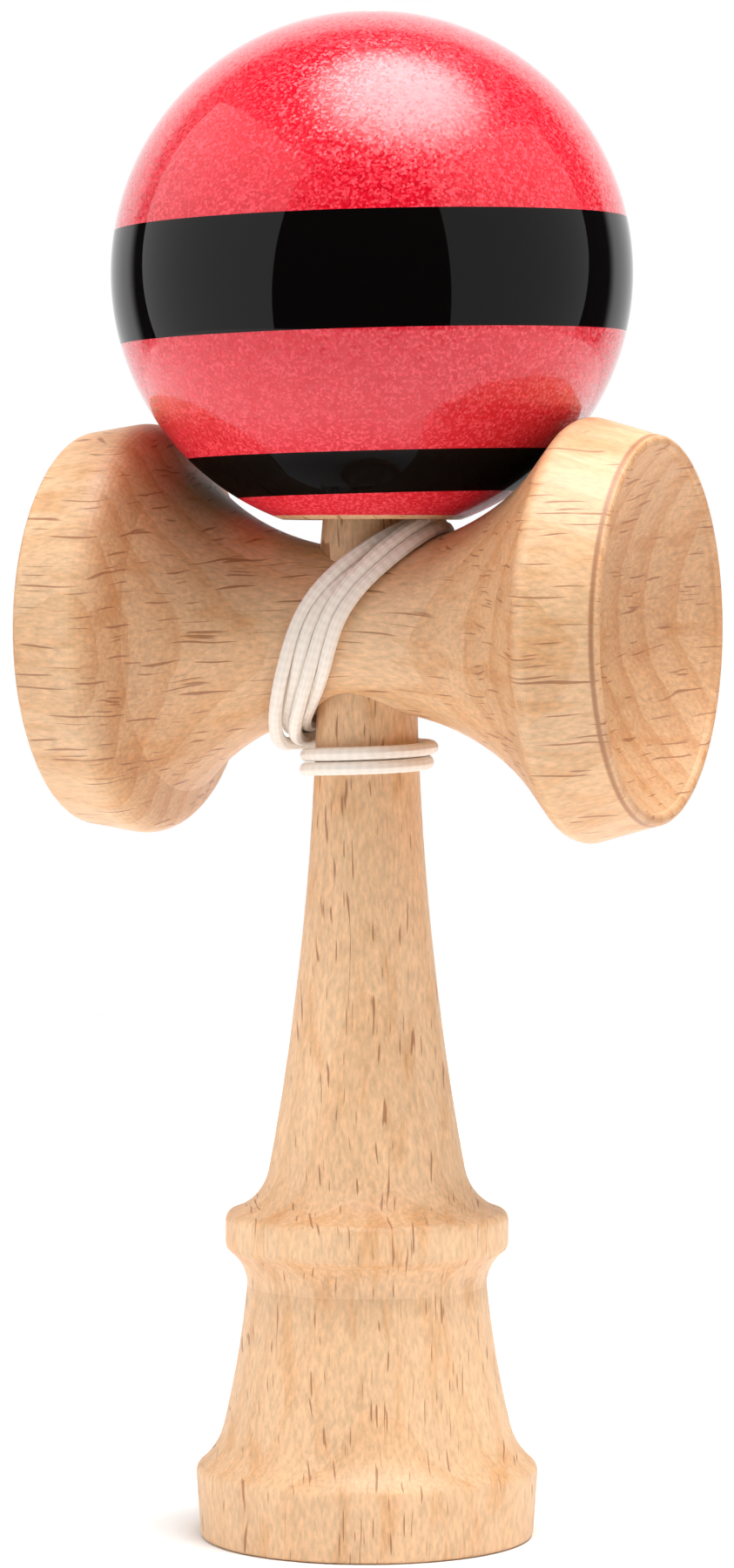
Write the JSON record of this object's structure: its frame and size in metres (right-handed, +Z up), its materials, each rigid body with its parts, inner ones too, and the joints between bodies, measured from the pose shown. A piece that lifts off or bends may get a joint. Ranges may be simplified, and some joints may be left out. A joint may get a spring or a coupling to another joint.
{
  "type": "kendama",
  "caption": "Wooden cup-and-ball toy: a turned handle with a spike and a cupped foot, a crosspiece with a cup at each end, and a painted, drilled ball tied on by a wound string.",
  "frame": {"origin": "On the floor at the middle of the foot, on the handle's axis", "axes": "+Z up along the handle to the spike, +X along the crosspiece to the small cup, +Y to the back, where the string comes out"},
  "size_m": [0.0704, 0.06, 0.1769],
  "materials": {
    "beech": "turned beech, sanded, bare",
    "ball_paint": "turned wood under red metallic gloss paint with two black bands",
    "bead_wood": "small turned bead, bare",
    "string": "twisted off-white nylon cord"
  },
  "bodies": {
    "handle": {"ken": "beech", "sarado": "beech", "anchor_knot": "string", "string_winding": "string"},
    "string_end": {"bead": "bead_wood", "bead_knot": "string", "string_lead": "string"},
    "ball": {"tama": "ball_paint"}
  },
  "joints": [
    {"name": "tama_lift", "type": "slide", "parent": "handle", "child": "string_end", "axis": [0, 0, 1], "range_m": [0, 0.036]},
    {"name": "tama_spin", "type": "hinge", "parent": "string_end", "child": "ball", "pos_m": [0.00061, 0, 0.14572], "axis": [0, 0, 1], "continuous": true}
  ]
}
